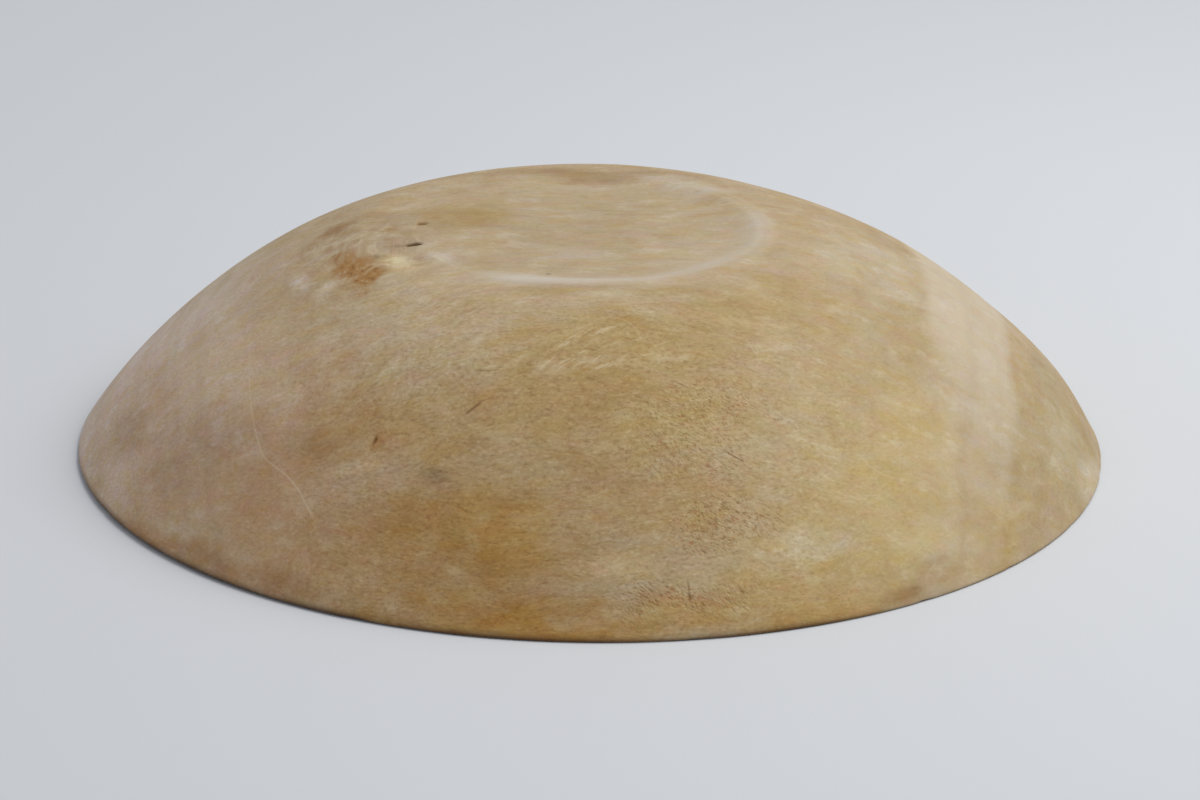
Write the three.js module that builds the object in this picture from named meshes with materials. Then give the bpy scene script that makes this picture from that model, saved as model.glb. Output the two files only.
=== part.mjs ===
// A turned wooden bowl, cut on the lathe from one blank of pale, close-grained wood.
// It lies mouth down on its rim. Units are millimetres, +Z is up through the foot, +X runs along the fibres,
// and the origin is the middle of the mouth, on the plane of the rim.
//
// The blank was turned round while it was damp. Drying drew it in across the fibres and hardly at all along them,
// so the finished bowl is a little oval: the round turning is made first, and then it is seasoned.

import * as THREE from "three";

// Driving dimensions, in millimetres and degrees.
const RIM_ALONG_FIBRES = 330; // outside diameter of the mouth, as turned and as kept along X
const RIM_ACROSS_FIBRES = 325; // outside diameter of the mouth along Y, after drying
const HEIGHT = 74; // rim plane to the foot's resting face

const FOOT_DIAMETER = 114; // outside of the foot's resting ring
const FOOT_STEP = 1.2; // how far the foot stands proud of the wall
const FOOT_EDGE = 0.9; // easing of the ring's outer edge
const FOOT_RING = 4; // width of the flat ring that it stands on
const FOOT_COVE = 8; // width of the cove from the ring into the hollow
const FOOT_HOLLOW = 1.5; // depth of the hollow inside the ring

const WALL_SLOPE_AT_FOOT = 1; // fall of the outside below horizontal where it leaves the foot
const WALL_SLOPE_AT_RIM = 58; // and where it reaches the rim
const WALL_PULL_AT_FOOT = 39; // how long the outside holds its first direction
const WALL_PULL_AT_RIM = 41; // and its last one

const LIP_FLAT = 3.6; // flat of the rim between its two eased edges
const LIP_EDGE = 1.6; // radius of the eased edges
const FLOOR_THICKNESS = 8.5; // wood between the foot's hollow and the inside

// Facets.
const TURN_STEPS = 80;
const WALL_STEPS = 18;
const DISH_STEPS = 15;
const EDGE_STEPS = 4;
const COVE_STEPS = 3;
const SAME_POINT = 1e-6; // neighbours in the section that are closer than this are one point

const point = (radius, height) => new THREE.Vector2(radius, height);

// A point that lies a given length away from another, at a slope above horizontal.
function along(start, slopeDegrees, length) {
  const slope = THREE.MathUtils.degToRad(slopeDegrees);
  return point(start.x + length * Math.cos(slope), start.y + length * Math.sin(slope));
}

// Points of a round edge about a centre, turned clockwise from one bearing to another, in degrees.
function easedEdge(centre, radius, fromDegrees, toDegrees) {
  const [from, to] = [fromDegrees, toDegrees].map(THREE.MathUtils.degToRad);
  return new THREE.EllipseCurve(centre.x, centre.y, radius, radius, from, to, true).getPoints(EDGE_STEPS);
}

// Under the foot: from the axis over the level hollow, up the cove, across the ring and over its edge.
function footOutline() {
  const outside = FOOT_DIAMETER / 2;
  const ringInside = outside - FOOT_EDGE - FOOT_RING;
  const hollowEdge = point(ringInside - FOOT_COVE, HEIGHT - FOOT_HOLLOW);
  const coveCorner = point(ringInside - FOOT_COVE / 2, hollowEdge.y);
  const cove = new THREE.QuadraticBezierCurve(hollowEdge, coveCorner, point(ringInside, HEIGHT));
  const edgeCentre = point(outside - FOOT_EDGE, HEIGHT - FOOT_EDGE);
  return [point(0, hollowEdge.y), ...cove.getPoints(COVE_STEPS), ...easedEdge(edgeCentre, FOOT_EDGE, 90, 0)];
}

// The rim, from the end of the outside wall over the outer edge, across the flat lip and round the inner edge.
// Both edges start and end at the wall's own slope, so the walls run into them without a crease.
function rimOutline() {
  const outerCentre = point(RIM_ALONG_FIBRES / 2 - LIP_EDGE, LIP_EDGE);
  const innerCentre = point(outerCentre.x - LIP_FLAT, LIP_EDGE);
  return [
    ...easedEdge(outerCentre, LIP_EDGE, 90 - WALL_SLOPE_AT_RIM, -90),
    ...easedEdge(innerCentre, LIP_EDGE, -90, -90 - WALL_SLOPE_AT_RIM),
  ];
}

// The outside wall, one curve from the corner below the foot to the start of the rim.
function wallCurve(rimStart) {
  const corner = point(FOOT_DIAMETER / 2, HEIGHT - FOOT_STEP);
  return new THREE.CubicBezierCurve(
    corner,
    along(corner, -WALL_SLOPE_AT_FOOT, WALL_PULL_AT_FOOT),
    along(rimStart, -WALL_SLOPE_AT_RIM, -WALL_PULL_AT_RIM),
    rimStart,
  );
}

// The inside, one curve from the end of the rim to the middle of the dish, where it lies level. Its two handles lie
// under the wall's own, so it runs beside the wall near the rim and comes level where the wall does.
function dishCurve(rimEnd, wall) {
  const middle = point(0, HEIGHT - FOOT_HOLLOW - FLOOR_THICKNESS);
  const besideWall = rimEnd.clone().add(wall.v2).sub(wall.v3);
  return new THREE.CubicBezierCurve(rimEnd, besideWall, point(wall.v1.x, middle.y), middle);
}

// Half of the bowl's section, from the axis at the foot round to the axis in the dish.
function section() {
  const rim = rimOutline();
  const wall = wallCurve(rim.at(0));
  const dish = dishCurve(rim.at(-1), wall);
  const outline = [...footOutline(), ...wall.getPoints(WALL_STEPS), ...rim, ...dish.getPoints(DISH_STEPS)];
  return outline.filter((here, i) => i === 0 || here.distanceTo(outline[i - 1]) > SAME_POINT);
}

// The round bowl as it left the lathe. The section runs from the top down, so its order is reversed to face out.
function turnedBowl() {
  return new THREE.LatheGeometry(section().reverse(), TURN_STEPS).rotateX(Math.PI / 2);
}

// Drying narrows the bowl across the fibres and leaves its length and height.
function season(geometry) {
  return geometry.scale(1, RIM_ACROSS_FIBRES / RIM_ALONG_FIBRES, 1);
}

const wood = new THREE.MeshStandardMaterial({ color: 0xb59a70, roughness: 0.72, metalness: 0 });

const bowl = new THREE.Mesh(season(turnedBowl()), wood);
bowl.name = "bowl";

const turnedWoodenBowl = new THREE.Group();
turnedWoodenBowl.add(bowl);

export default turnedWoodenBowl;
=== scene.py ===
# %% [markdown]
# # A turned wooden bowl, lying mouth down
#
# The bowl was cut on a lathe from one block of pale, close-grained wood, and then used and scrubbed for
# years. Foot, wall, rim and dish are one piece, so this lesson makes one surface. Its shape comes first,
# then what the tree, the lathe and the kitchen left on it, then the wood itself, and at the end the floor,
# the light and the camera.
#
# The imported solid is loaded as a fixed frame. It gives the place and the size of the bowl, and a finer
# surface then stands for it.

# %% Load the frame
import math

import bpy
import numpy as np
from mathutils import Matrix, Vector


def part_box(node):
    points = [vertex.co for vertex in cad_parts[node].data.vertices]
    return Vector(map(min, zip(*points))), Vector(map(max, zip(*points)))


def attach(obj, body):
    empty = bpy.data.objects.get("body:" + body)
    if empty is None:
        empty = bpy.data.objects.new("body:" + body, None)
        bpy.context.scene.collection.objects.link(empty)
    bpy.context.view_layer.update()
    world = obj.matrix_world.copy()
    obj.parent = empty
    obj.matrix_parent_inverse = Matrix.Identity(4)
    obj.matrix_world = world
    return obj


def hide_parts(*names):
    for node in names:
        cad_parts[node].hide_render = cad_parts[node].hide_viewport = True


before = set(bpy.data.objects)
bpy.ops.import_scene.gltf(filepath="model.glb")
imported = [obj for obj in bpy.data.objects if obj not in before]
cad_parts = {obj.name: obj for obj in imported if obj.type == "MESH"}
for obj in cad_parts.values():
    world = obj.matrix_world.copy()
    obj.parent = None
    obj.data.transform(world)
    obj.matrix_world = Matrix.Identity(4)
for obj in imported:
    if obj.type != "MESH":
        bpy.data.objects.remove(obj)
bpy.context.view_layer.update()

MM = 0.001  # one millimetre in the frame's metres
bowl_low, bowl_high = (np.array(end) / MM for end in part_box("bowl"))
RIM_ALONG, RIM_ACROSS, HEIGHT = bowl_high - bowl_low
OVAL = RIM_ACROSS / RIM_ALONG  # drying drew the bowl in across the fibres, along Y
print(f"bowl in the frame: {RIM_ALONG:.1f} by {RIM_ACROSS:.1f} by {HEIGHT:.1f} mm")

# %% [markdown]
# ## The half section
#
# A turner draws half a section and lets the lathe do the rest. Here it starts on the axis at the foot, goes
# over the ring, down the outside, round the rim and back up the inside. It could be drawn as a Bezier
# object, but a few named sizes in millimetres say more about a bowl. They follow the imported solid, with two
# differences. Years of standing and scrubbing have worn the foot, so its ring is rounder and its cove
# softer. And the outer edge of the rim is crisper, which leaves a wider lip.

# %% Sizes of the section, in millimetres and degrees
FOOT_DIAMETER = 116.6  # where the rounded ring meets the wall
FOOT_STEP = 0.75  # how far the worn ring still stands proud of the wall
FOOT_EDGE = 2.8  # width of the ring's rounded shoulder
FOOT_RING = 3.0  # width of what is left of its flat
FOOT_COVE = 9.5  # width of the cove from the ring into the hollow
FOOT_HOLLOW = 1.4  # depth of the hollow
SLOPE_AT_FOOT, PULL_AT_FOOT = 1.5, 37.5  # fall of the outside at the foot, and how long it holds
SLOPE_AT_RIM, PULL_AT_RIM = 58.0, 41.0  # the same at the rim
LIP_FLAT = 4.4  # flat of the rim
OUTER_EDGE, INNER_EDGE = 0.7, 1.6  # easing of its two edges, the outer one still crisp
FLOOR_THICKNESS = 8.5  # wood between the foot's hollow and the dish
STEPS = {
    "hollow": 14, "cove": 8, "ring": 4, "shoulder": 5, "wall": 66,
    "outer edge": 6, "lip": 3, "inner edge": 5, "dish": 32,
}  # steps of each stretch of the section
print(f"foot {FOOT_DIAMETER} mm across, {sum(STEPS.values())} steps in all")


# %% Curves and eased edges
def curve(handles, steps):
    """Bezier curve: each point is the sum of the handles, weighted by the binomial shares of t and 1 - t,
    while t goes from 0 to 1. Two handles give a straight line."""
    t = np.linspace(0, 1, steps + 1)[:, None]
    last = len(handles) - 1
    shares = [math.comb(last, k) * t**k * (1 - t) ** (last - k) for k in range(last + 1)]
    return sum(share * np.array(handle, float) for share, handle in zip(shares, handles))


def eased_edge(centre, size, start, end, steps):
    """Round edge: the centre plus its size times cosine and sine of bearings that go from start to end."""
    bearings = np.radians(np.linspace(start, end, steps + 1))[:, None]
    return np.array(centre) + size * np.hstack([np.cos(bearings), np.sin(bearings)])


def falling(slope):
    """Direction outwards and down at a slope: cosine and minus sine of it."""
    return np.array([math.cos(math.radians(slope)), -math.sin(math.radians(slope))])


# %% Corners and edges of the section
foot_radius = FOOT_DIAMETER / 2
shoulder_start = foot_radius - FOOT_EDGE
shoulder_turn = foot_radius - FOOT_EDGE / 3  # the shoulder starts level and turns down late
ring_inside = shoulder_start - FOOT_RING
hollow_level = HEIGHT - FOOT_HOLLOW
hollow_edge = (ring_inside - FOOT_COVE, hollow_level)
cove_corner = (ring_inside - FOOT_COVE / 2, hollow_level)
wall_foot = np.array([foot_radius, HEIGHT - FOOT_STEP])
lip_outside = RIM_ALONG / 2 - OUTER_EDGE
lip_inside = lip_outside - LIP_FLAT
outer_bearings, inner_bearings = (90 - SLOPE_AT_RIM, -90), (-90, -90 - SLOPE_AT_RIM)
edges = {
    "outer edge": eased_edge((lip_outside, OUTER_EDGE), OUTER_EDGE, *outer_bearings, STEPS["outer edge"]),
    "inner edge": eased_edge((lip_inside, INNER_EDGE), INNER_EDGE, *inner_bearings, STEPS["inner edge"]),
}
wall_rim, dish_rim = edges["outer edge"][0], edges["inner edge"][-1]
dish_middle = (0.0, hollow_level - FLOOR_THICKNESS)
wall_start = wall_foot + PULL_AT_FOOT * falling(SLOPE_AT_FOOT)
wall_end = wall_rim - PULL_AT_RIM * falling(SLOPE_AT_RIM)
dish_start = dish_rim + wall_end - wall_rim
print(f"wall from radius {wall_foot[0]:.1f} to {wall_rim[0]:.1f} mm")

# %% The section, from the axis at the foot to the axis in the dish
handles = {
    "hollow": [(0, hollow_level), hollow_edge],
    "cove": [hollow_edge, cove_corner, (ring_inside, HEIGHT)],
    "ring": [(ring_inside, HEIGHT), (shoulder_start, HEIGHT)],
    "shoulder": [(shoulder_start, HEIGHT), (shoulder_turn, HEIGHT), wall_foot],
    "wall": [wall_foot, wall_start, wall_end, wall_rim],
    "lip": [edges["outer edge"][-1], edges["inner edge"][0]],
    "dish": [dish_rim, dish_start, (wall_start[0], dish_middle[1]), dish_middle],
}
stretches = {
    name: edges[name] if name in edges else curve(handles[name], steps) for name, steps in STEPS.items()
}
section = np.concatenate([stretch[:-1] for stretch in stretches.values()] + [[dish_middle]])
first_row = dict(zip(STEPS, np.cumsum([0, *STEPS.values()])))
travel = np.concatenate([[0], np.cumsum(np.hypot(*np.diff(section, axis=0).T))])
starts = {name: travel[row] for name, row in first_row.items()}  # way along the section to each stretch
print(f"section of {len(section)} points, {travel[-1]:.0f} mm long")

# %% [markdown]
# ## One turn of the lathe
#
# The section is carried round the axis, which gives a grid: rows along the section, columns round the bowl.
# Blender's Screw modifier could turn it, but a grid of plain arrays lets every later step work on all its
# points at once.

# %% The true turning
TURNS = 690  # columns round the bowl
GRID = (len(section), TURNS)
radius, level = section.T
bearing = np.arange(TURNS) * 2 * np.pi / TURNS
around = np.stack([np.cos(bearing), np.sin(bearing)], axis=-1)[None]
levels = np.broadcast_to(level[:, None, None], (*GRID, 1))
true_points = np.concatenate([radius[:, None, None] * around * (1, OVAL), levels], axis=-1)
plan_x, plan_y = true_points[..., 0], true_points[..., 1]
heading = np.gradient(section, travel, axis=0)
rises = np.broadcast_to(heading[:, :1, None], (*GRID, 1))
normals = np.concatenate([-heading[:, 1:, None] * around, rises], axis=-1)
normals /= np.linalg.norm(normals, axis=-1, keepdims=True)
outside = (np.arange(len(section)) < first_row["lip"])[:, None]
print(f"grid of {len(section)} rows and {TURNS} columns")

# %% [markdown]
# ## What isn't true
#
# Real turned wood is never that true. Smooth noise supplies the small swells that scraping and drying
# leave, and the same noise later makes the edges of stains ragged. It comes from a fixed lattice of random
# numbers with a seed, so each run gives the same bowl. This bowl also has a ring that is worn nearly flush
# at the left, a wall that is a little fuller at the right, and a rim that lifts a little at the left.

# %% Smooth noise
SEED, LATTICE_SIDE = 11, 24
LATTICE = np.random.default_rng(SEED).random((LATTICE_SIDE,) * 3)
print(f"lattice of {LATTICE.size} numbers")


def cloud(places, size, shift=0.0):
    """Smooth noise from -1 to 1: each place blends the eight nearest numbers of the lattice by how near it is
    to them. size is the distance between lattice points in mm, one number or one per axis, and shift picks
    another part."""
    spot = places / size + shift
    cell = np.floor(spot).astype(int)
    part = spot - cell
    part = part * part * (3 - 2 * part)
    total = 0.0
    for step in np.ndindex(2, 2, 2):
        near = (cell + step) % LATTICE_SIDE
        share = np.where(step, part, 1 - part).prod(axis=-1)
        total = total + share * LATTICE[near[..., 0], near[..., 1], near[..., 2]]
    return 2 * total - 1


def ease(value, start, end):
    """Smooth step: 0 at start, 1 at end, with a level start and finish."""
    share = np.clip((value - start) / (end - start), 0, 1)
    return share * share * (3 - 2 * share)


def bell(gap, spread):
    """Bell curve: 1 where the gap is nought, and e to the minus square of gap over spread elsewhere."""
    return np.exp(-((gap / spread) ** 2))


def turned_from(degrees):
    """Angle from a bearing to each column of the grid, in degrees from -180 to 180."""
    return (np.degrees(bearing) - degrees + 180) % 360 - 180


# %% Swells
SWELL, SWELL_SIZE = 0.28, 60.0  # height and spacing of the broad swells
FACET, FACET_SIZE = 0.10, 15.0  # and of the small ones that a scraper leaves
TRUER = 0.25  # share of them on foot and rim
FOOT_BLEND = 12.0  # way down the wall over which they come in
RIM_BLEND = (0.5, 9.0)  # heights between which they go

down_from_foot = ease(travel, starts["wall"], starts["wall"] + FOOT_BLEND)[:, None]
up_from_rim = ease(level, *RIM_BLEND)[:, None]
uneven = SWELL * cloud(true_points, SWELL_SIZE) + FACET * cloud(true_points, FACET_SIZE, shift=5.3)
uneven *= TRUER + (1 - TRUER) * down_from_foot * up_from_rim
print(f"swells from {uneven.min():.2f} to {uneven.max():.2f} mm")

# %% The ring worn down at the left, and dents in the rim
RING_WEAR, WEAR_BEARING = 0.9, 186.0  # how much of the ring is gone, and at which bearing
WEAR_SIDE = (0.1, 0.9)  # cosines of the angle from there at which the wear starts and is full
FLUSH_RADIUS, FLUSH_RISE, FLUSH_STEPS = 74.0, 0.4, 24  # where the worn stretch meets the wall, and how
DENT, DENT_SIZE = 0.45, 7.0  # deepest dent along the rim's outer edge, and the spacing of dents
DENT_FROM, DENT_FULL = 0.35, 0.9  # the noise where a dent starts and is deepest
DENT_MIDDLE, DENT_WIDTH = 1.5, 1.6  # way along the edge to a dent's middle, and half its width

wall = stretches["wall"]
flush_end = wall[np.searchsorted(wall[:, 0], FLUSH_RADIUS)]
flush_handles = [(ring_inside, hollow_level), (foot_radius, flush_end[1] + FLUSH_RISE)]
flush = curve([hollow_edge, *flush_handles, flush_end], FLUSH_STEPS)
proud = level - np.interp(radius, flush[:, 0], flush[:, 1])
proud *= (radius > hollow_edge[0]) & (radius < flush_end[0]) & outside[:, 0]
worn_side = ease(np.cos(bearing - math.radians(WEAR_BEARING)), *WEAR_SIDE)[None]
uneven -= RING_WEAR * proud[:, None] * worn_side
near_edge = bell(travel - starts["outer edge"] - DENT_MIDDLE, DENT_WIDTH)[:, None]
uneven -= DENT * near_edge * ease(cloud(true_points, DENT_SIZE, shift=2.6), DENT_FROM, DENT_FULL)
print(f"wear and dents down to {uneven.min():.2f} mm")

# %% The fuller wall, the lean and the lifted rim
FULL, FULL_BEARING, FULL_SPREAD = 1.65, 16.0, 52.0  # the wall is fuller at the right and a little behind
FULL_IN, FULL_LESS, FULL_OUT = (0.0, 16.0), (22.0, 36.0), (48.0, 72.0)  # heights: it comes in, eases, goes
LESS = 0.35  # how much it eases
LEAN = 1.1  # sinking to the right and rising to the left, at full height one rim radius out
LIFT, LIFT_BEARING, LIFT_SPREAD = 1.1, 208.0, 34.0  # the rim doesn't quite touch at the left
LIFT_TOP = 40.0  # height at which that is gone

belly = ease(level, *FULL_IN) * (1 - LESS * ease(level, *FULL_LESS)) * (1 - ease(level, *FULL_OUT))
belly = belly[:, None] * outside
uneven += FULL * belly * bell(turned_from(FULL_BEARING), FULL_SPREAD)[None]
points = true_points + normals * uneven[..., None]
points[..., 2] -= LEAN * points[..., 0] / (RIM_ALONG / 2) * points[..., 2] / HEIGHT
lifted = (1 - ease(level, 0, LIFT_TOP))[:, None] * bell(turned_from(LIFT_BEARING), LIFT_SPREAD)[None]
points[..., 2] += LIFT * lifted
print(f"unevenness from {uneven.min():.2f} to {uneven.max():.2f} mm")

# %% [markdown]
# ## Marks that have a place
#
# Some marks sit at one place on this bowl: the knot by the foot, two drying checks, honey-coloured patches
# where oil soaked in, pale patches where it was rubbed, and patches of torn grain. They could be painted on
# an image by hand. A list of places with sizes in millimetres does the same without an image, and it can be
# read and changed.
#
# Each mark is an oval on the surface, measured along the rim's direction and down the wall from its centre.

# %% How far edges wander
WANDERS = [(7.0, 26.0), (3.0, 10.0), (1.4, 4.5)]  # how far, and over what distance, in mm
SHIFTS = (1.3, 4.9, 8.7)  # parts of the noise for the three directions


def wander(far, size):
    """Offset of each point: one cloud for each direction, times how far."""
    return far * np.stack([cloud(true_points, size, shift) for shift in SHIFTS], axis=-1)


stray = sum(wander(far, size) for far, size in WANDERS)
print(f"edges wander up to {np.linalg.norm(stray, axis=-1).max():.0f} mm")

# %% Ovals on the outside
TOO_DEEP = (30, 50)  # a mark fades out between these distances from its own plane


def spot_on_wall(x, y):
    """Point of the true outside above a place in plan, its direction round the bowl, and its direction down
    the wall: the height is read from the section at the place's distance from the axis."""
    distance = math.hypot(x, y / OVAL)
    last = first_row["lip"] + 1
    height = np.interp(distance, radius[:last], level[:last])
    slope = np.interp(distance, radius[:last], heading[:last, 1])
    out = np.array([x, y / OVAL, 0]) / max(distance, 1e-6)  # the middle of the foot has no direction
    side = np.array([-out[1], out[0], 0.0])
    fall = out * math.sqrt(max(0, 1 - slope**2)) + np.array([0, 0, slope])
    return np.array([x, y, height]), side, fall


def oval(x, y, along, down, turn=0.0, ragged=1.0, soft=0.8):
    """How much of a mark each point carries, from 0 to 1: the length of its offset from the centre, taken in
    the two directions of the surface and in units of the two radii, after the point has wandered. soft is
    the share of the radius over which the mark fades out."""
    centre, side, fall = spot_on_wall(x, y)
    offset = true_points + ragged * stray - centre
    across, below = offset @ side, offset @ fall
    c, s = math.cos(math.radians(turn)), math.sin(math.radians(turn))
    distance = np.hypot((c * across + s * below) / along, (c * below - s * across) / down)
    depth = np.abs(offset @ np.cross(side, fall))
    return outside * (1 - ease(depth, *TOO_DEEP)) * (1 - ease(distance, 1 - soft, 1.0))


def strongest(patches, **kind):
    """Strongest of several ovals at each point. A patch is its strength, and then what oval takes."""
    return np.max([strength * oval(*place, **kind) for strength, *place in patches], axis=0)


def linear(code):
    """sRGB hex colour to linear red, green and blue, by the standard's two-part curve."""
    channel = np.array([int(code[k : k + 2], 16) for k in (1, 3, 5)]) / 255
    return np.where(channel <= 0.04045, channel / 12.92, ((channel + 0.055) / 1.055) ** 2.4)


halfway = spot_on_wall(0, -RIM_ACROSS / 4)[0]
print(f"halfway to the front rim the wall is {halfway[2]:.1f} mm high")

# %% [markdown]
# ## Stains
#
# Bare wood takes up what it touches. Oil turns it honey-coloured, damp turns it grey, and rubbing lays pale
# fibres open. Each stain below names the colour that plain wood has in the middle of it. The ratio of that
# colour to plain wood's is kept as a tint on the points, so that the grain still shows through.
# One of them, at the back of the foot, is painted shade: it darkens the cove there.

# %% Tint from a list of stains
PLAIN = "#AE9463"  # plain wood, away from stains and scuffs
STAINS = [
    # what it is, x, y, along, down, colour, strength, and turn if it has one
    ("greyed top", 0, 0, 104, 104, "#B5A07B", 0.90),
    ("pale left end", -142, -16, 74, 60, "#D6C4AF", 0.95),
    ("pinkish left side", -118, -75, 105, 62, "#BF9F7E", 0.85),
    ("grey-tan upper left", -58, -61, 66, 30, "#B9A480", 0.80),
    ("golden belly", 0, -107, 84, 40, "#AA8A4E", 0.75),
    ("yellow right of the foot", 46, -67, 62, 24, "#AC925E", 0.9),
    ("pale right side", 80, -96, 70, 52, "#B9A373", 0.85),
    ("tan right end", 142, -48, 60, 34, "#AC976A", 0.90),
    ("pale low right", 86, -118, 60, 36, "#C3AB74", 0.85),
    ("sandy low front", 58, -145, 52, 24, "#BEA369", 0.80),
    ("warm low left", -72, -136, 62, 24, "#BD9C6C", 0.80),
    ("grey foot", 0, 0.5, 72, 72, "#B09E7C", 0.80),
    ("grey middle of the foot", -4, -26, 26, 14, "#BEAF95", 0.60),
    ("pale right shoulder", 92, -9, 44, 32, "#BEB295", 0.6),
    ("pale green on the right", 101, -47, 34, 22, "#AD9A6C", 0.55),
    ("tan left shoulder", -101, -6, 36, 30, "#B9A283", 0.85),
    ("pale left shoulder", -109, -52, 50, 32, "#CBB392", 0.8),
    ("grey-brown on the left", -117, -83, 40, 22, "#AF9376", 0.85),
    ("pink low on the left", -100, -108, 46, 22, "#B5926A", 0.80),
    ("golden left of the middle", -64, -103, 46, 24, "#AA854C", 0.7),
    ("golden beside the scratch", -82, -104, 20, 14, "#A37D4A", 0.70),
    ("golden low front", 24, -135, 42, 15, "#AE8A46", 0.5),
    ("yellow low right", 122, -98, 30, 18, "#B79B5E", 0.9),
    ("honey", -38, -140, 62, 28, "#A57D3E", 0.9),
    ("amber beside the honey", -24, -140, 28, 24, "#AC8640", 0.75),
    ("brown in the middle", 1, -128, 18, 13, "#A6844F", 0.7),
    ("brown streak", 4, -109, 32, 6, "#A78652", 0.35),
    ("gold under the foot", 6, -84, 58, 18, "#AC915A", 0.75),
    ("pale over the torn grain", 24, -112, 28, 28, "#BAA46D", 0.5),
    ("pale left of the middle", -40, -74, 34, 20, "#BDA87E", 0.5),
    ("honey at the rim", -20, -159, 52, 12, "#A97923", 0.90),
    ("sandy low on the left", -58, -151, 30, 6, "#A07C42", 0.9),
    ("gold at the front rim", 24, -157, 34, 9, "#B58E44", 0.70),
    ("orange along the right rim", 72, -143, 46, 8, "#C09F64", 0.5),
    ("brown smear by the right rim", 97, -129, 22, 4, "#A37F49", 0.4, -8),
    ("pale streak low on the right", 68, -134, 28, 9, "#C9B98F", 0.80),
    ("pale right of the middle", 104, -84, 26, 22, "#C0A975", 0.85),
    ("pale by the right rim", 101, -118, 18, 10, "#CDB985", 0.80),
    ("pale left rim", -146, -60, 26, 14, "#CFB9A2", 0.55),
    ("tan beside the pale zone", 148, -6, 46, 14, "#AA9872", 0.80),
    ("pale right tip", 157, -42, 22, 12, "#CABE9E", 0.80),
    ("grey right tip", 146, -42, 30, 18, "#B8AA88", 0.65),
    ("grey beside the pale zone", 88, -54, 22, 12, "#B9A982", 0.50),
    ("pale patch low in front", 8, -149, 18, 6, "#C3AB7B", 0.80),
    ("reddish torn band", 28, -153, 26, 5, "#AF8656", 0.60),
    ("amber on the foot", -42, 13, 19, 19, "#A28854", 0.95),
    # painted shade: darkens the cove at the back of the foot
    ("painted shade at the back of the foot", 4, 54, 66, 12, "#A08661", 0.85),
    ("grey at the back of the foot", 30, 42, 24, 14, "#BDB096", 0.80),
    ("pale right part of the foot", 30, -6, 32, 36, "#B8A686", 0.60),
    ("brown beside the pale zone", 97, 22, 30, 8, "#AE9A76", 0.85),
    ("pale under the ring", 3, -62, 13, 6, "#C0B18F", 0.80),
    ("dull round the knot", -66, -8, 34, 30, "#A99472", 0.80),
    ("faint end of the arc", -67, 17, 10, 8, "#A4875F", 0.80),
    ("tan round the knot", -75, -32, 19, 18, "#A98D64", 0.85),
    ("brown right of the wedge", -56, -25, 9, 7, "#AB906A", 0.85),
    ("pale streak left of the knot", -84, -36, 7, 7, "#CEC0A6", 0.75),
    ("honey behind", 30, 128, 66, 28, "#A67E46", 0.85),
    ("pale behind", -62, 112, 60, 30, "#C0A97C", 0.80),
    ("mauve behind", 84, 92, 50, 28, "#AB8A63", 0.80),
    ("brown along the back rim", -40, 156, 70, 8, "#A57D4E", 0.85),
]
SPOTS = [
    # the same for small marks with cleaner edges
    ("brown arc behind the knot", -80.5, 7, 10, 8, "#8A6434", 0.75),
    ("pale streak further left", -92, -26, 10, 4, "#CFC2AA", 0.70),
    ("pale wedge by the knot", -61.5, -30.5, 13, 7, "#D4C598", 0.95),
    ("pale rub at the left of the ring", -48, -28, 9, 6, "#C8BBA0", 0.75),
    ("dark dots by the wedge", -67.6, -25, 3.4, 2.4, "#877250", 0.90),
    ("brown dab behind the knot", -64.5, 0, 4.2, 3.2, "#98733F", 0.95),
    ("brown about the upper check", -54.5, 5.0, 4.5, 3.2, "#A27F48", 0.80),
    ("grey tail of the check", -60.5, -15.6, 1.8, 5.5, "#8F7C5C", 0.90),
    ("dark speck on the ring", -13.3, -44.5, 1.2, 1.4, "#6A604A", 0.90),
    ("brown at the left end", -145, -44, 24, 13, "#A88D6C", 0.60),
    ("grey smudge", -46, -124, 8, 5, "#8A744C", 0.70),
    ("orange about the pin mark", -64, -109, 3.0, 4.5, "#A47743", 0.90),
    ("brown at the left rim", -134, -93, 24, 5, "#A67C4D", 0.75),
    ("brown further along it", -115, -114, 24, 6.5, "#A1774A", 0.80),
    ("brown at its front end", -92, -132, 24, 6.5, "#A1774A", 0.8),
    ("gold along the right rim", 66, -148.5, 28, 4.5, "#B48D42", 0.75),
    ("honey along the front rim", -44, -151, 22, 5, "#A6792C", 0.60),
    ("more honey along it", -16, -156, 22, 5, "#A6792C", 0.60),
    ("dark of the smear", 95.5, -130.8, 10, 3.4, "#92702C", 0.75, -6),
    ("far end of the smear", 107.5, -120.5, 9, 3, "#A07A26", 0.55, -6),
    ("gold further along it", 118, -111, 22, 7.5, "#AE8D44", 0.85),
    ("gold under the ring", 24, -57.5, 22, 5.5, "#A68E5C", 0.70),
    ("gold further left under it", -12, -60, 18, 5.5, "#A68E5C", 0.60),
    ("dark dot on the right", 45, -127, 1.2, 1.2, "#795B37", 0.90),
    ("pale strokes by the pin mark", -71, -114, 12, 4, "#C6AF88", 0.70, -30),
    ("pale fleck left of the middle", -60, -86, 3, 7, "#C9B892", 0.60),
]
STAIN_RAGGED, SPOT_RAGGED = 1.0, 0.2  # how much their edges wander

tint = np.ones(points.shape)
for listed, ragged in [(STAINS, STAIN_RAGGED), (SPOTS, SPOT_RAGGED)]:
    for _, x, y, along, down, stain, strength, *turn in listed:
        share = strength * oval(x, y, along, down, *turn, ragged=ragged)[..., None]
        tint += share * (linear(stain) / linear(PLAIN) - tint)
print(f"{len(STAINS)} stains and {len(SPOTS)} spots, tint from {tint.min():.2f} to {tint.max():.2f}")
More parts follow.
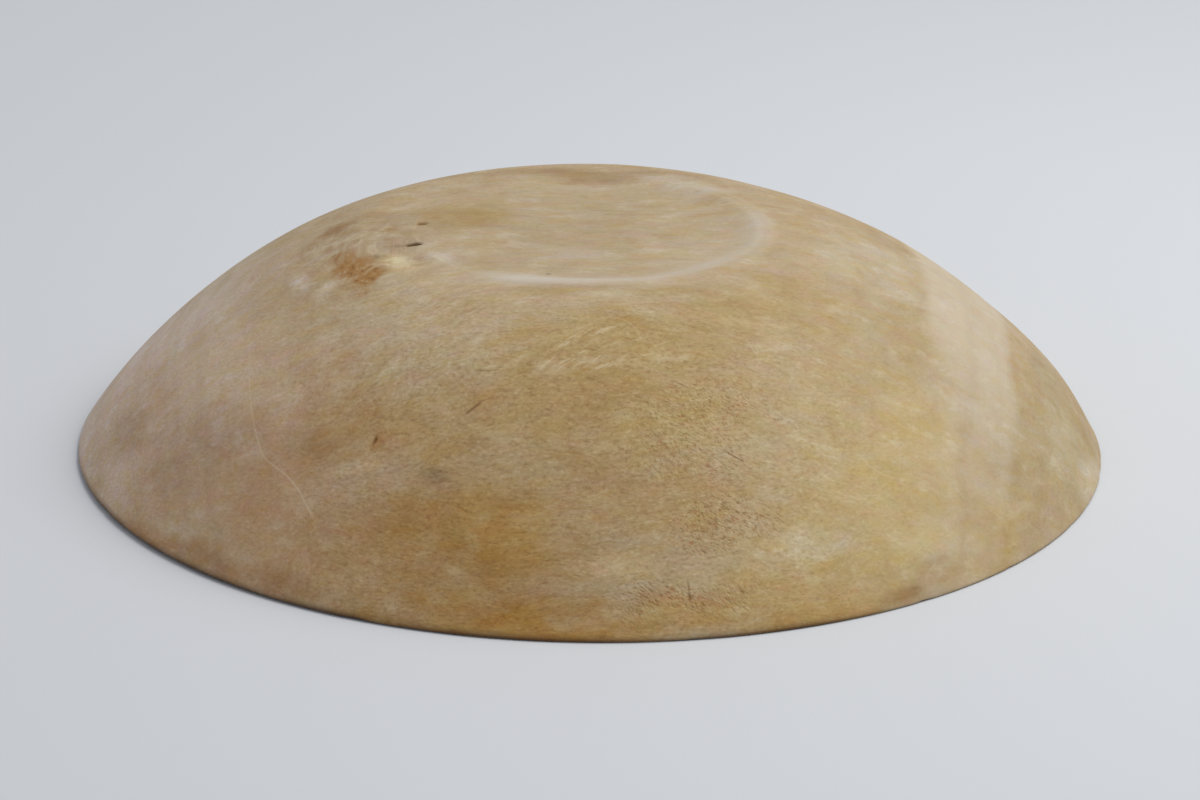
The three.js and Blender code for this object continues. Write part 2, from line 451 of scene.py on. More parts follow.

# %% [markdown]
# ## Scuffs, torn grain, nap, painted rim shade and the worn ring
#
# Other marks only say where something happens, and the material draws what happens there. Scuffs lay pale
# fibres open, and where they are strong they show as strokes. In torn grain the tool met the fibres head on
# and pulled out short slivers. Their dark is partly painted shade in the pits, and their pale flecks are
# partly a painted highlight beside them. A nap of lifted fibres roughens bare wood, and painted shade darkens
# the lower edge of the rim. The ring of the foot is worn pale by standing on tables, and at its front and
# right that paleness also holds painted light.

# %% Where the surface is scuffed and torn
SCUFFS = [
    # strength, x, y, along, down
    (0.9, 2, -92, 48, 26),
    (0.7, -42, -66, 34, 22),
    (0.5, 44, -100, 44, 16),
    (0.5, 78, -118, 40, 22),
    (0.4, -92, -70, 34, 26),
]
TORN = [
    (0.8, 33, -106, 34, 15),
    (0.9, 40, -136, 27, 10),
    (1.0, 28, -153, 34, 9),
    (0.65, 30, -122, 32, 20),
    (0.8, -34, 120, 40, 22),
    (0.9, -22, 150, 32, 10),
]
SCUFFED = 0.30  # how scuffed the wall is away from these patches
STROKES_FROM, STROKES_FULL = 0.25, 0.9  # how scuffed it is where strokes start and are full

scuffed = np.maximum(SCUFFED * down_from_foot, strongest(SCUFFS, soft=0.9))
stroked = ease(scuffed, STROKES_FROM, STROKES_FULL)
torn = strongest(TORN, soft=0.7)
print(f"scuffed {scuffed.mean():.2f}, stroked {stroked.mean():.2f}, torn {torn.mean():.3f} on average")

# %% Where the nap stands up, and where painted shade darkens the rim's lower edge
NAP, NAP_IN_FRONT = 0.50, 0.45  # nap everywhere, and more of it in front and behind
SMOOTHER_RIGHT, SMOOTHER_FOOT = 0.25, 0.40  # how much smoother it is at the right, and on the foot
# Painted shade: a dark brown band on the rim's lower edge and lip stands for the shadow in the gap under the
# rim.
RIM_SHADE_TOP = (0.5, 1.9)  # heights between which the painted shade fades out
RIM_SHADE_BEARING = 243.0  # most is in front, a little to the left, and opposite; the ends get less of it
RIM_SHADE_SIDE, RIM_SHADE_LEAST = (0.35, 0.72), 0.1  # cosines from there between which it fades, and what is left
RIM_SHADE, RIM_SHADE_PATCHY, RIM_SHADE_SIZE = 0.8, 0.4, 13.0  # how dark it is, how much that varies, and over what distance

front_and_back = ease(np.abs(plan_y), 40, 100) * (1 - ease(np.abs(plan_x), 50, 115))
nappy = (NAP - SMOOTHER_RIGHT * ease(plan_x, 10, 90)) * (1 - SMOOTHER_FOOT * (1 - down_from_foot))
nappy += NAP_IN_FRONT * front_and_back
low = (1 - ease(level, *RIM_SHADE_TOP)) * (travel < starts["dish"])
patchy = np.clip(RIM_SHADE + RIM_SHADE_PATCHY * cloud(true_points, RIM_SHADE_SIZE, shift=7.7), 0, 1)
to_front = ease(np.abs(np.cos(bearing - math.radians(RIM_SHADE_BEARING))), *RIM_SHADE_SIDE)[None]
painted_rim_shade = low[:, None] * patchy * (RIM_SHADE_LEAST + (1 - RIM_SHADE_LEAST) * to_front)
print(f"nap {nappy.mean():.2f} and painted_shade {painted_rim_shade.mean():.3f} on average")

# %% The worn ring, with painted light at its front and right
# Painted light: the pale ring is wear, and its front and right also carry the light that the ring catches
# there.
WEAR_AND_LIGHT_FACING, BROAD_FACING = -0.9, -0.1  # bearings where it is palest, from wear and painted light, and broadest, in radians
WORN_WIDTH, BROADER, FAINTER = 4.9, 1.5, 0.3  # half the width of the wear; how it changes towards the right
WORN_INWARD, BROAD_INWARD = 2.8, 1.2  # how far it lies inside the ring's middle at those bearings
WORN_WANDER = 0.25  # how much its edge wanders
WEAR_AND_LIGHT, WORN_PATCHY, WORN_SIZE = 0.66, 0.16, 22.0  # how pale, from wear and painted light, how much that varies, and over what distance
WEAR_AND_LIGHT_SIDE, WEAR_AND_LIGHT_LEAST = (-0.05, 0.55), 0.12  # cosines between which it fades round the ring; what is left

ring_middle = (starts["ring"] + starts["wall"]) / 2
facing = np.cos(bearing - WEAR_AND_LIGHT_FACING)[None]
rightward = np.clip(np.cos(bearing - BROAD_FACING), 0, 1)[None]
inward = WORN_INWARD * facing + BROAD_INWARD * rightward
off_ring = travel[:, None] - ring_middle + inward + WORN_WANDER * stray[..., 0]
on_ring = bell(off_ring, WORN_WIDTH + BROADER * rightward) * (1 - FAINTER * rightward)
on_ring *= WEAR_AND_LIGHT_LEAST + (1 - WEAR_AND_LIGHT_LEAST) * ease(facing, *WEAR_AND_LIGHT_SIDE)
ring_wear_and_light = np.clip(on_ring * (WEAR_AND_LIGHT + WORN_PATCHY * cloud(true_points, WORN_SIZE, shift=9.1)), 0, 1)
print(f"worn {ring_wear_and_light.mean():.3f} on average, {ring_wear_and_light.max():.2f} at most")

# %% [markdown]
# ## The knot and its checks
#
# A branch once grew through the wood left of the foot. The fibres part and close round its knot like water
# round a stone, so the flow round a post gives the path of the grain: the offset across the fibres shrinks
# near the post by the square of the ratio of its radius to the distance. The knot itself is rust-brown, and
# the wood about it is busy. Two short checks opened there as it dried. They are cut into the points, and
# coloured near black, which also paints the shade inside the cracks.

# %% Grain that parts round the knot
KNOT_X, KNOT_Y, KNOT_RADIUS = -66.0, -18.0, 9.0
PITH_Y, PITH_Z = 0.0, -126.0  # the tree's middle line ran along X, under the mouth
SWAY, SWAY_SIZES = 3.5, (90, 45, 45)  # how far the fibres stray from straight, and over what distances
CURL, CURL_SIZE = 1.5, 13.0  # how far they curl on the way
SWIRL, SWIRL_UNEVEN, SWIRL_SIZE = 0.5, 1.2, 5.0  # how they turn inside the knot, evenly and unevenly

off_x, off_y = plan_x - KNOT_X, plan_y - KNOT_Y
knot_gap = np.hypot(off_x, off_y)
parted = off_y * (1 - KNOT_RADIUS**2 / np.maximum(knot_gap, KNOT_RADIUS) ** 2)
swirl = SWIRL + SWIRL_UNEVEN * cloud(true_points, SWIRL_SIZE, shift=2.2)
in_knot = np.clip(KNOT_RADIUS - knot_gap, 0, None) * swirl
grain_y = KNOT_Y + parted + in_knot + SWAY * cloud(true_points, SWAY_SIZES, shift=3.1) - PITH_Y
grain_z = true_points[..., 2] + SWAY * cloud(true_points, SWAY_SIZES, shift=8.3) - PITH_Z
rings = np.hypot(grain_y, grain_z)
curled_y = grain_y + CURL * cloud(true_points, CURL_SIZE, shift=6.1)
curled_z = grain_z + CURL * cloud(true_points, CURL_SIZE, shift=9.7)
grain = np.stack([plan_x, curled_y, curled_z], axis=-1)
print(f"growth rings from {rings.min():.0f} to {rings.max():.0f} mm about the pith")

# %% The knot, the wood about it and the checks
RUST = [(1.0, -77.5, -30, 9.5, 9), (1.0, -71, -38.5, 9, 7)]  # strength, x, y, along, down
FAINT_RUST = [(0.8, -78.5, -20.5, 7, 6), (0.6, -70.5, -47, 4, 6)]
RUST_RAGGED = 0.4  # how much the edges of both wander
CALMER = 0.6  # how much less busy the wood is where it is rusty
CHECKS = [(1.0, -56.3, -14.6, 2.2, 3.6, 10), (0.55, -54.5, 5.0, 2.2, 2.9, -4)]  # the same, and turn
CHECK_DEPTH = 0.8  # depth of the deeper one in mm

rusty = np.maximum(strongest(RUST, ragged=RUST_RAGGED, soft=0.6), strongest(FAINT_RUST, ragged=RUST_RAGGED))
knotty = oval(-70, -18, 42, 34, soft=0.7) * (1 - CALMER * rusty)
check = strongest(CHECKS, ragged=0.05, soft=0.6)
points -= normals * (CHECK_DEPTH * check)[..., None]
print(f"rust on {int((rusty > 0.2).sum())} points, checks on {int((check > 0.2).sum())}")

# %% [markdown]
# ## A pale zone of growth rings
#
# A tree doesn't lay down the same wood each year. One zone of this one's rings is paler than the rest, and
# the wall cuts through it towards the two ends. Each point's distance from the pith is known, so the zone
# needs no drawing: it is a range of distances. Its wood is also closer, so it has less nap.

# %% Where the pale zone comes to the surface
CREAM_FROM, CREAM_TO = 163.0, 182.5  # its distances from the pith
EDGE_FROM, EDGE_TO = 1.5, 2.0  # half the width of its lower and of its upper edge
BLUR_BELOW, BLUR_ABOVE, FRONT_FAINTER = 9.0, 3.0, 0.6  # in front its upper edge blurs and it fades
CREAM_AT_LEFT = 0.3  # how strong it is at the left, compared with the right
CREAM, CREAM_SHARE = "#CBBEA6", 0.55  # its colour, and how much of it shows
CREAM_CLOSER, TORN_CLOSER = 0.5, 0.35  # how much less nap there is in it, and in torn grain

swayed = rings + 1.2 * cloud(true_points, 16.0, shift=1.9) + 0.7 * cloud(true_points, 5.0, shift=4.4)
forward = ease(-plan_y, 20, 90)
rightwards = CREAM_AT_LEFT + (1 - CREAM_AT_LEFT) * ease(plan_x, -40, 80)
cream = ease(swayed, CREAM_FROM - EDGE_FROM, CREAM_FROM + EDGE_FROM)
upper_edge = CREAM_TO - EDGE_TO - BLUR_BELOW * forward, CREAM_TO + EDGE_TO + BLUR_ABOVE * forward
cream *= 1 - ease(swayed, *upper_edge)
cream *= rightwards * (1 - FRONT_FAINTER * forward)
tint += CREAM_SHARE * cream[..., None] * (linear(CREAM) / linear(PLAIN) - tint)
nappy *= (1 - CREAM_CLOSER * cream) * (1 - TORN_CLOSER * torn)
print(f"cream zone covers {(cream > 0.5).mean():.2f} of the grid")

# %% [markdown]
# ## Scratches
#
# A few scratches and splinters are long enough to follow. Each is a path over the outside. A line thinner
# than the mesh can still be drawn sharply: every point near the path stores how far to its left or right it
# lies, and the material draws the line where that distance passes through nought. It is kept in units of
# the line's half width.

# %% Paths of scratches
REACH = 7.0  # how far from its path a scratch is stored, in mm
FADE = 1.4  # how far it fades out beyond its ends
NO_LINE = 99.0  # stored where no scratch is near
PIECES = 3  # straight pieces in a path for each listed place
SCRATCHES = [
    # what it is, pale (positive) or dark (negative), half its width, places in plan
    ("long pale scratch", 0.30, 0.45, [(-105.8, -52.7), (-105.8, -68), (-103.6, -83), (-100, -94.2)]),
    ("its lower half", 0.34, 0.50, [(-100, -94.2), (-98, -102), (-90, -105), (-87, -114), (-82.8, -121.7)]),
    ("dark slanted splinter", -0.66, 0.75, [(-36.8, -108.4), (-34.8, -107.2), (-33.2, -106.2)]),
    ("its thin end", -0.36, 0.40, [(-32.6, -105.8), (-29.6, -104.6)]),
    ("brown splinter", -0.45, 0.40, [(-34.5, -95), (-31, -95.6), (-28, -95.7)]),
    ("brown splinter above it", -0.45, 0.35, [(-24.5, -89), (-21.5, -87)]),
    ("brown splinter on the right", -0.60, 0.55, [(40.5, -117.8), (43, -118.6), (45.5, -119.0)]),
    ("short dark splinter", -0.55, 0.50, [(26, -99.5), (29, -100.5)]),
    ("gouge low on the right", -0.50, 0.60, [(29.2, -150), (29.8, -153)]),
    ("dark pin mark", -0.95, 0.95, [(-64.0, -108.2), (-64.2, -109.0)]),
    ("its foot", -0.50, 0.70, [(-64.9, -110.8), (-64.8, -111.1)]),
    ("pale hook on the right", 0.30, 0.45, [(81.9, -104.4), (83.5, -106.2), (87.5, -106.6), (92.1, -105.1)]),
    ("pale scratch near the right tip", 0.25, 0.45,
     [(121.8, -93.6), (126.5, -91.5), (128.2, -92.8), (127.5, -94.2)]),
    ("pale curl under the foot", 0.22, 0.60, [(-4, -86), (0, -74), (8, -72), (14, -78), (15, -85)]),
    ("pale nick right of the foot", 0.30, 0.45, [(47, -77), (50, -83)]),
    ("pale stroke", 0.22, 0.60, [(-24, -88), (-14, -84), (-4, -76)]),
    ("pale stroke behind", 0.30, 0.45, [(30, 100), (52, 92), (70, 80)]),
    ("dark splinter behind", -0.7, 0.60, [(-60, 96), (-54, 99)]),
]

beside_line = np.full(GRID, NO_LINE)
line_power = np.zeros(GRID)
nearest = np.full(GRID, REACH)
for _, power, width, places in SCRATCHES:
    path = np.array([spot_on_wall(x, y)[0] for x, y in curve(places, PIECES * len(places))])
    last = len(path) - 2
    for k, (start, end) in enumerate(zip(path[:-1], path[1:])):
        run = end - start
        length = np.linalg.norm(run)
        offset = true_points - start
        reached = offset @ run / length
        gap = np.linalg.norm(offset - np.clip(reached, 0, length)[..., None] * run / length, axis=-1)
        closer = outside & (gap < nearest)
        side = np.einsum("...k,...k", np.cross(normals, run / length), offset)
        beyond = np.maximum(-reached if k == 0 else 0, reached - length if k == last else 0)
        nearest = np.where(closer, gap, nearest)
        beside_line = np.where(closer, side / width, beside_line)
        line_power = np.where(closer, power * (1 - ease(beyond, 0, FADE)), line_power)
print(f"{len(SCRATCHES)} scratches near {int((nearest < REACH).sum())} points")

# %% [markdown]
# ## The mesh
#
# The two rows on the axis are single points, so the grid without them becomes quads and the two ends are
# closed with fans of triangles. Every array above has one value for each place of the grid, so it becomes
# an attribute of the mesh in the same order.

# %% Points and faces
def by_vertex(values):
    """Grid order to mesh order: the rows between the poles, then the foot's pole, then the dish's pole."""
    return np.concatenate([values[1:-1].reshape(-1, *values.shape[2:]), values[:1, 0], values[-1:, 0]])


bands = len(section) - 2
column = np.arange(TURNS)
beside = (column + 1) % TURNS
row = np.arange(bands - 1)[:, None] * TURNS
below = row + TURNS
quads = np.stack([row + column, below + column, below + beside, row + beside], axis=-1).reshape(-1, 4)
foot_pole, dish_pole = bands * TURNS, bands * TURNS + 1
last_row = (bands - 1) * TURNS
foot_fan = np.stack([np.full(TURNS, foot_pole), column, beside], axis=-1)
dish_fan = np.stack([last_row + column, np.full(TURNS, dish_pole), last_row + beside], axis=-1)

mesh = bpy.data.meshes.new("bowl_turned")
faces = quads.tolist() + foot_fan.tolist() + dish_fan.tolist()
mesh.from_pydata((by_vertex(points) * MM).tolist(), [], faces)
mesh.polygons.foreach_set("use_smooth", np.ones(len(mesh.polygons), bool))
mesh.calc_loop_triangles()
print(f"bowl_turned: {len(mesh.vertices)} points, {len(mesh.loop_triangles)} triangles")

# %% Attributes, and the bowl's place in the frame
def in_scene(name, data):
    """Adds an object that shows the data to the scene."""
    made = bpy.data.objects.new(name, data)
    bpy.context.scene.collection.objects.link(made)
    return made


inside = np.broadcast_to(~outside, GRID).astype(float)
turning = np.broadcast_to(travel[:, None], GRID)
marks = {
    "scuffed": scuffed, "stroked": stroked, "torn": torn, "ring_wear_and_light": ring_wear_and_light, "rusty": rusty, "knotty": knotty,
    "check": check, "cream": cream, "nappy": nappy, "painted_rim_shade": painted_rim_shade, "beside_line": beside_line,
    "line_power": line_power, "inside": inside, "turning": turning,
}
for name, values in {"grain": grain, "tint": tint, **marks}.items():
    kind, key = ("FLOAT_VECTOR", "vector") if values.ndim == 3 else ("FLOAT", "value")
    stored = by_vertex(values).astype(np.float32).ravel()
    mesh.attributes.new(name, kind, "POINT").data.foreach_set(key, stored)
mesh.update()

bowl = in_scene("bowl_turned", mesh)
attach(bowl, "root")
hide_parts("bowl")
print(f"{bowl.name} carries {len(marks) + 2} attributes")

# %% [markdown]
# ## The wood
#
# The wood is a pale, even hardwood like beech or sycamore: turned, scraped, and left bare. Its colour comes
# from the growth rings about the pith, from streaks along the fibres, and from the marks above. The wood's
# own patterns are solid: they read the bent wood coordinates in millimetres, so end grain and side grain
# meet on the surface as they do in wood. An image wrapped round the bowl would be simpler, but it would
# stretch or show a seam.

# %% A node with its settings and links
def add(tree, kind, inputs, out=0, **settings):
    """Adds a shader node, sets its options, and gives each input a value or links it to an output.
    Returns one of the node's outputs."""
    made = tree.nodes.new("ShaderNode" + kind)
    for name, value in settings.items():
        setattr(made, name, value)
    for key, value in inputs.items():
        if isinstance(value, bpy.types.NodeSocket):
            tree.links.new(value, made.inputs[key])
        else:
            made.inputs[key].default_value = value
    return made.outputs[out] if made.outputs else None


def emptied(owner):
    """Turns on the nodes of a material or world, and returns its tree with nothing in it."""
    owner.use_nodes = True
    owner.node_tree.nodes.clear()
    return owner.node_tree


def paint(code):
    """Linear colour with full alpha for a colour socket."""
    return (*linear(code), 1.0)


wood = bpy.data.materials.new("worn_pale_hardwood")  # gives the eye a warm, dull, streaked and patchy surface
tree = emptied(wood)
mesh.materials.append(wood)
fibres = add(tree, "Attribute", {}, "Vector", attribute_name="grain")
stain_tint = add(tree, "Attribute", {}, "Color", attribute_name="tint")
patterns = {name: add(tree, "Attribute", {}, "Fac", attribute_name=name) for name in marks}
print(f"material {wood.name} reads {len(tree.nodes)} attributes")

# %% Noise in the wood
NOISES = {
    # name: sizes along, across and up in mm; turn about X, Y and Z in degrees; detail
    "blotch": ((34, 19, 17), (0, 0, 0), 6),  # cloudy patches
    "mottle": ((13, 8, 6), (0, 0, -10), 6),  # smaller ones, darker or paler
    "blush": ((10, 5.5, 4.5), (0, 0, 12), 5),  # pinkish or greenish ones
    "gild": ((13, 5, 4.5), (0, 0, -8), 5),  # golden or greyish ones
    "scrub": ((15, 12, 8), (0, 0, -25), 8),  # patches scrubbed pale
    "streak": ((60, 6, 5), (0, 0, 0), 4),  # broad streaks along the fibres
    "line": ((45, 1.0, 0.8), (0, 0, 0), 2),  # thin straight ones
    "fibre": ((4.2, 1.4, 1.0), (0, 0, 0), 3),  # bundles of fibres
    "nap": ((1.4, 1.1, 0.75), (0, 0, 0), 2),  # pores and raised fibres, drawn coarser so that they show
    "feather": ((10, 1.6, 5), (0, 0, -34), 3),  # strokes of a scuff
    "gouge": ((6, 1.7, 1.7), (0, -62, 0), 1),  # slivers torn out, large
    "tick": ((3.4, 0.9, 0.9), (0, -40, 0), 1),  # small
    "nick": ((2.8, 0.9, 0.9), (0, -66, 0), 1),  # and small and steep
    "fleck": ((2.2, 1.8, 1.8), (0, 0, 0), 2),  # reddish flecks among them
    "speckle": ((2.4, 3.4, 2.4), (0, 0, 0), 3),  # dark cells in the knot
    "dapple": ((5, 6, 4), (0, 0, 0), 4),  # the busy wood about it
    "brush": ((1.6, 11, 6), (0, 0, 8), 2),  # and strokes that ran down from it
}
NOISE_ROUGHNESS = 0.62  # how strongly finer details of the noise show
APART = (31, 17, 47)  # mm between the parts of the noise that two patterns read

for k, (name, (spans, turn, detail)) in enumerate(NOISES.items()):
    angles = tuple(math.radians(angle) for angle in turn)
    shifted = tuple(k * gap for gap in APART)
    turned = add(tree, "Mapping", {"Vector": fibres, "Rotation": angles, "Location": shifted})
    per_span = tuple(1 / span for span in spans)
    stretched = add(tree, "VectorMath", {0: turned, 1: per_span}, operation="MULTIPLY")
    fineness = {"Scale": 1.0, "Detail": detail, "Roughness": NOISE_ROUGHNESS}
    patterns[name] = add(tree, "TexNoise", {"Vector": stretched, **fineness})
print("noise:", ", ".join(NOISES))

# %% Growth rings, tool marks and scratches
RING, BAND = 2.4, 9.0  # spacing of fine growth rings and of broader bands of them, in mm
TOOL = 1.3  # and of the marks that the tool left as the bowl turned
LINE_EDGE, LINE_CORE = 1.0, 0.2  # a scratch starts at its half width and is full near its middle

across_fibres = add(tree, "VectorMath", {0: fibres, 1: (0, 1, 1)}, operation="MULTIPLY")
from_pith = add(tree, "VectorMath", {0: across_fibres}, "Value", operation="LENGTH")
waves = {"ring": (from_pith, RING), "band": (from_pith, BAND), "tool mark": (patterns["turning"], TOOL)}
for name, (way, spacing) in waves.items():
    place = add(tree, "Math", {0: way, 1: spacing}, operation="DIVIDE")
    patterns[name] = add(tree, "TexNoise", {"W": place, "Scale": 1.0, "Detail": 2.0}, noise_dimensions="1D")
line_gap = add(tree, "Math", {0: patterns["beside_line"]}, operation="ABSOLUTE")
line_core = add(tree, "MapRange", {"Value": line_gap, "From Min": LINE_EDGE, "From Max": LINE_CORE})
for name, sign in [("pale line", 1.0), ("dark line", -1.0)]:
    power = add(tree, "Math", {0: patterns["line_power"], 1: sign}, operation="MULTIPLY", use_clamp=True)
    patterns[name] = add(tree, "Math", {0: line_core, 1: power}, operation="MULTIPLY")
print(f"{len(patterns)} patterns")

# %% Layers of colour
WOOD_LAYERS = [
    # pattern, where it starts, where it is full, its most, colour, and where if not everywhere
    ("ring", 0.45, 0.75, 0.14, "#987D53"),
    ("band", 0.45, 0.72, 0.18, "#9A7E52"),
    ("band", 0.50, 0.28, 0.12, "#C4B28C"),
    ("mottle", 0.51, 0.68, 0.45, "#9C7942"),
    ("mottle", 0.48, 0.32, 0.45, "#C6B48C"),
    ("blush", 0.50, 0.68, 0.40, "#B58A64"),
    ("blush", 0.49, 0.32, 0.32, "#A5975E"),
    ("gild", 0.50, 0.68, 0.45, "#AF8E48"),
    ("gild", 0.49, 0.32, 0.36, "#AC9678"),
    ("streak", 0.50, 0.78, 0.28, "#97794A"),
    ("line", 0.52, 0.75, 0.26, "#8F7146"),
    ("fibre", 0.50, 0.76, 0.42, "#86683C", "nappy"),
    ("fibre", 0.48, 0.24, 0.32, "#D3C098", "nappy"),
    ("nap", 0.50, 0.74, 0.55, "#84643A", "nappy"),
    ("nap", 0.46, 0.26, 0.30, "#D8C59C", "nappy"),
    ("tool mark", 0.50, 0.80, 0.06, "#8C6F44"),
]
MARK_LAYERS = [
    # the same for marks, which lie over the stains
    ("cream", 0.0, 1.0, 0.34, "#C8BBA3"),
    ("scrub", 0.53, 0.66, 0.50, "#CDBD9A", "scuffed"),
    ("feather", 0.45, 0.33, 0.40, "#93723E", "stroked"),
    ("feather", 0.55, 0.68, 0.50, "#D3C5A0", "stroked"),
    ("fleck", 0.57, 0.69, 0.55, "#A66A3A", "torn"),
    # torn grain: the pale flecks are partly a painted highlight beside the pits, and the dark ticks, nicks
    # and gouges partly painted shade in them
    ("tick", 0.41, 0.31, 0.42, "#D4C08E", "torn"),
    ("tick", 0.615, 0.69, 0.56, "#8A6428", "torn"),
    ("nick", 0.615, 0.69, 0.56, "#8A6428", "torn"),
    ("gouge", 0.66, 0.73, 0.60, "#805A22", "torn"),
    ("dapple", 0.50, 0.66, 0.45, "#96764A", "knotty"),
    ("dapple", 0.48, 0.34, 0.40, "#C9BE9C", "knotty"),
    ("brush", 0.55, 0.70, 0.25, "#CDC2A4", "knotty"),
    ("speckle", 0.33, 0.47, 0.90, "#9F7337", "rusty"),
    ("speckle", 0.52, 0.66, 0.80, "#7C4E18", "rusty"),
    # pale ring of the foot: wear, with painted light at its front and right
    ("ring_wear_and_light", 0.0, 1.0, 0.72, "#D3CFC6"),
    # painted shade along the rim's lower edge, for the shadow in the gap under it
    ("painted_rim_shade", 0.0, 1.0, 0.80, "#4A2A10"),
    ("inside", 0.0, 1.0, 0.35, "#8E6B3A"),
    ("pale line", 0.0, 1.0, 1.0, "#E2D3B2"),
    ("dark line", 0.0, 1.0, 1.0, "#6E4618"),
    # the checks' near black is partly painted shade inside the cracks
    ("check", 0.0, 1.0, 1.0, "#4E3400"),
]


def lay_over(under, layers):
    """Lays colours over one another in order: each share rises smoothly with its pattern, to its most."""
    for source, start, full, most, shade, *where in layers:
        reach = {"Value": patterns[source], "From Min": start, "From Max": full, "To Max": most}
        share = add(tree, "MapRange", reach, interpolation_type="SMOOTHSTEP")
        for only in where:
            share = add(tree, "Math", {0: share, 1: patterns[only]}, operation="MULTIPLY")
        under = add(tree, "Mix", {0: share, 6: under, 7: paint(shade)}, 2, data_type="RGBA")
    return under


print(f"{len(WOOD_LAYERS)} layers of wood, {len(MARK_LAYERS)} of marks")

# %% Colour of the wood
DARK_GROUND, PALE_GROUND = "#A98D5B", "#B59C6D"  # even wood under all layers, in cloudy patches
GROUND_FROM, GROUND_FULL = 0.3, 0.7  # the noise between which dark turns to pale
SOAK_LEAST = 0.78  # how much of a stain the least thirsty wood takes up
SOAK_FROM, SOAK_FULL = 0.3, 0.6  # the noise there, and where all is taken up

patchy_ground = {"Value": patterns["blotch"], "From Min": GROUND_FROM, "From Max": GROUND_FULL}
ground = add(tree, "MapRange", patchy_ground)
colour = add(tree, "Mix", {0: ground, 6: paint(DARK_GROUND), 7: paint(PALE_GROUND)}, 2, data_type="RGBA")
colour = lay_over(colour, WOOD_LAYERS)
thirst = {"Value": patterns["mottle"], "From Min": SOAK_FROM, "From Max": SOAK_FULL, "To Min": SOAK_LEAST}
soak = add(tree, "MapRange", thirst)
colour = add(tree, "Mix", {0: soak, 6: colour, 7: stain_tint}, 2, data_type="RGBA", blend_type="MULTIPLY")
colour = lay_over(colour, MARK_LAYERS)
print(f"{len(tree.nodes)} nodes make the colour")

# %% Shine and relief
SMOOTHEST, ROUGHEST = 0.60, 0.80  # bare wood is dull, and fibres rubbed smooth are a little less so
SHEEN = 0.4  # a weak highlight, since no varnish or wax lies on it
SLIVER_FROM, SLIVER_FULL = 0.55, 0.72  # the noise where a torn sliver starts and is deepest
NAP_HEIGHT = -0.35  # how far the nap's pores go down, compared with a sliver
RELIEF, RELIEF_STRENGTH = 0.35 * MM, 0.55  # depth of a sliver, and how strongly the relief shows

roughness = add(tree, "MapRange", {"Value": patterns["fibre"], "To Min": SMOOTHEST, "To Max": ROUGHEST})
slivers = patterns["gouge"]
for name in ("tick", "nick"):
    slivers = add(tree, "Math", {0: slivers, 1: patterns[name]}, operation="MAXIMUM")
hollowed = {"Value": slivers, "From Min": SLIVER_FROM, "From Max": SLIVER_FULL}
depth = add(tree, "MapRange", hollowed, interpolation_type="SMOOTHSTEP")
pits = add(tree, "Math", {0: depth, 1: patterns["torn"]}, operation="MULTIPLY")
nap_height = add(tree, "Math", {0: patterns["nap"], 1: NAP_HEIGHT}, operation="MULTIPLY")
relief = add(tree, "Math", {0: nap_height, 1: pits}, operation="SUBTRACT")
bumped = add(tree, "Bump", {"Height": relief, "Strength": RELIEF_STRENGTH, "Distance": RELIEF})
bare = {"Base Color": colour, "Roughness": roughness, "Normal": bumped, "Specular IOR Level": SHEEN}
add(tree, "OutputMaterial", {"Surface": add(tree, "BsdfPrincipled", bare)})
print(f"{len(tree.nodes)} nodes in {wood.name}")

# %% [markdown]
# ## Floor, light and camera
#
# The bowl lies on a plain pale sheet in soft light. A broad lamp stands high on the right and a little
# behind, so the left of the bowl falls into soft shade, and a pale world fills the rest. The floor's far
# parts fade to the background's own colour, so that no horizon shows from any side.

# %% Floor
FLOOR_COLOUR = "#D5D8DB"
BACKDROP = "#CBCED2"  # how the lit floor looks
FLOOR_SIZE = 8.0  # in metres
FLOOR_DROP = 0.1 * MM  # how far it lies under the rim, to keep the faces apart
FADE_FROM, FADE_TO = 0.35, 1.3  # where the floor passes into the backdrop, in metres from the bowl

half = FLOOR_SIZE / 2
floor_mesh = bpy.data.meshes.new("floor")
floor_corners = [(x, y, -FLOOR_DROP) for x, y in [(-half, -half), (half, -half), (half, half), (-half, half)]]
floor_mesh.from_pydata(floor_corners, [], [(0, 1, 2, 3)])
floor = in_scene("floor", floor_mesh)

sheet = bpy.data.materials.new("pale_sheet")  # gives the eye an even, matt ground without a highlight
sheet_tree = emptied(sheet)
floor_mesh.materials.append(sheet)
paper = {"Base Color": paint(FLOOR_COLOUR), "Roughness": 0.9, "Specular IOR Level": 0.1}
matt = add(sheet_tree, "BsdfPrincipled", paper)
glow = add(sheet_tree, "Emission", {"Color": paint(BACKDROP)})
here = add(sheet_tree, "TexCoord", {}, "Object")
gone = add(sheet_tree, "VectorMath", {0: here}, "Value", operation="LENGTH")
faded = add(sheet_tree, "MapRange", {"Value": gone, "From Min": FADE_FROM, "From Max": FADE_TO})
add(sheet_tree, "OutputMaterial", {"Surface": add(sheet_tree, "MixShader", {0: faded, 1: matt, 2: glow})})
print(f"floor of {FLOOR_SIZE} m, {len(sheet_tree.nodes)} nodes in {sheet.name}")

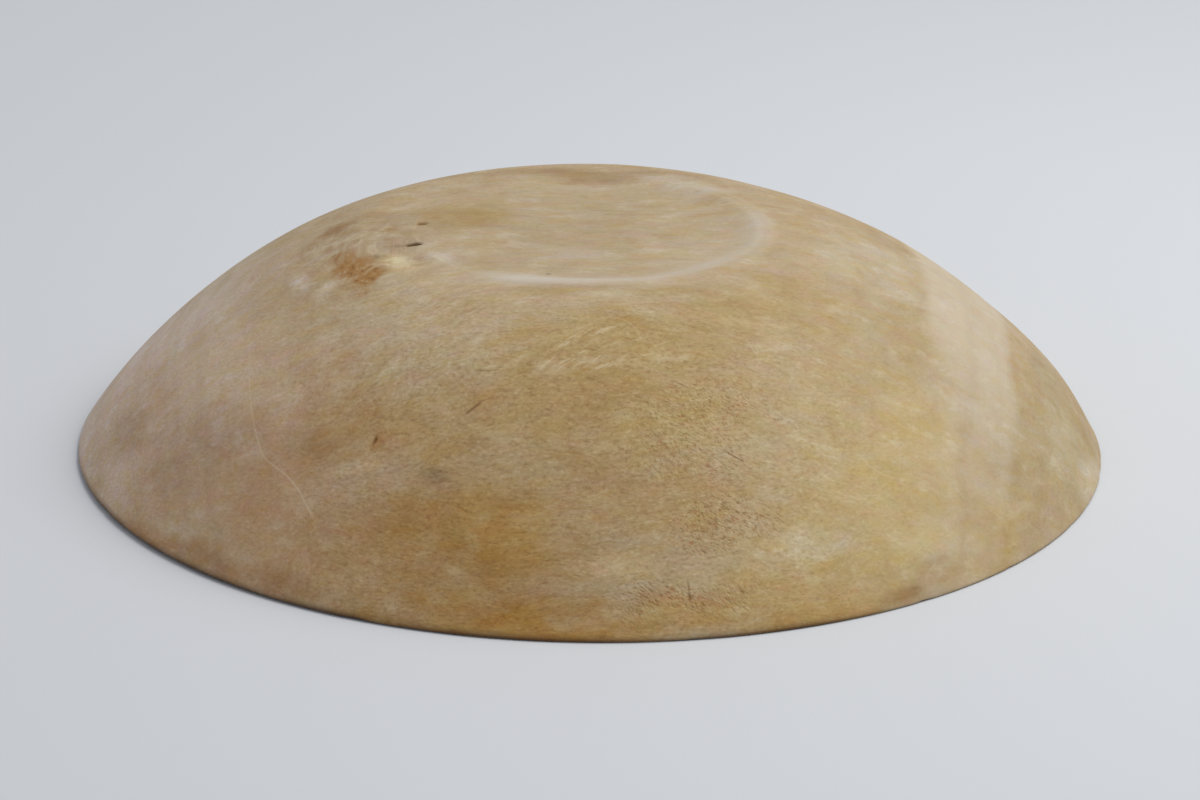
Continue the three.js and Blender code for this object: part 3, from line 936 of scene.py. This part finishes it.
# %% Light
ROOM_LIGHT, ROOM_COLOUR = 0.49, "#F4F6FF"
BOWL_MIDDLE = Vector((0, 0, 0.04))  # where the lamp is aimed

world = bpy.data.worlds.new("soft_room")
world_tree = emptied(world)
bpy.context.scene.world = world
seen = add(world_tree, "LightPath", {}, "Is Camera Ray")
lighting = add(world_tree, "Background", {"Color": paint(ROOM_COLOUR), "Strength": ROOM_LIGHT})
backdrop = add(world_tree, "Background", {"Color": paint(BACKDROP)})
add(world_tree, "OutputWorld", {"Surface": add(world_tree, "MixShader", {0: seen, 1: lighting, 2: backdrop})})


def soft_lamp(name, place, size, power, colour):
    """Square area lamp at a place, turned to face the bowl's middle."""
    lamp = bpy.data.lights.new(name, "AREA")
    lamp.size, lamp.energy, lamp.color = size, power, linear(colour)
    holder = in_scene(name, lamp)
    holder.location = place
    holder.rotation_euler = (BOWL_MIDDLE - Vector(place)).to_track_quat("-Z", "Y").to_euler()
    print(f"{name}: {power} W over {size} m")


soft_lamp("window_right", place=(0.55, 0.10, 1.05), size=1.1, power=10.5, colour="#FFFDF8")
bpy.context.scene.view_settings.view_transform = "Standard"

# %% Camera
LENS, SENSOR = 144.0, 36.0
CAMERA_PLACE = Vector((0, -1.4513, 0.5628))
PITCH, YAW, ROLL = (math.radians(angle) for angle in (20.690, -0.121, -0.680))

level_right = Vector((math.cos(YAW), math.sin(YAW), 0))
ahead = Vector((-math.sin(YAW) * math.cos(PITCH), math.cos(YAW) * math.cos(PITCH), -math.sin(PITCH)))
level_up = level_right.cross(ahead)
right = math.cos(ROLL) * level_right - math.sin(ROLL) * level_up
up = math.sin(ROLL) * level_right + math.cos(ROLL) * level_up
camera_data = bpy.data.cameras.new("camera")
camera_data.lens, camera_data.sensor_width, camera_data.sensor_fit = LENS, SENSOR, "HORIZONTAL"
camera = in_scene("camera", camera_data)
camera.matrix_world = Matrix.Translation(CAMERA_PLACE) @ Matrix((right, up, -ahead)).transposed().to_4x4()
bpy.context.scene.camera = camera
print(f"camera at {tuple(round(v, 3) for v in camera.location)}, {LENS} mm lens")
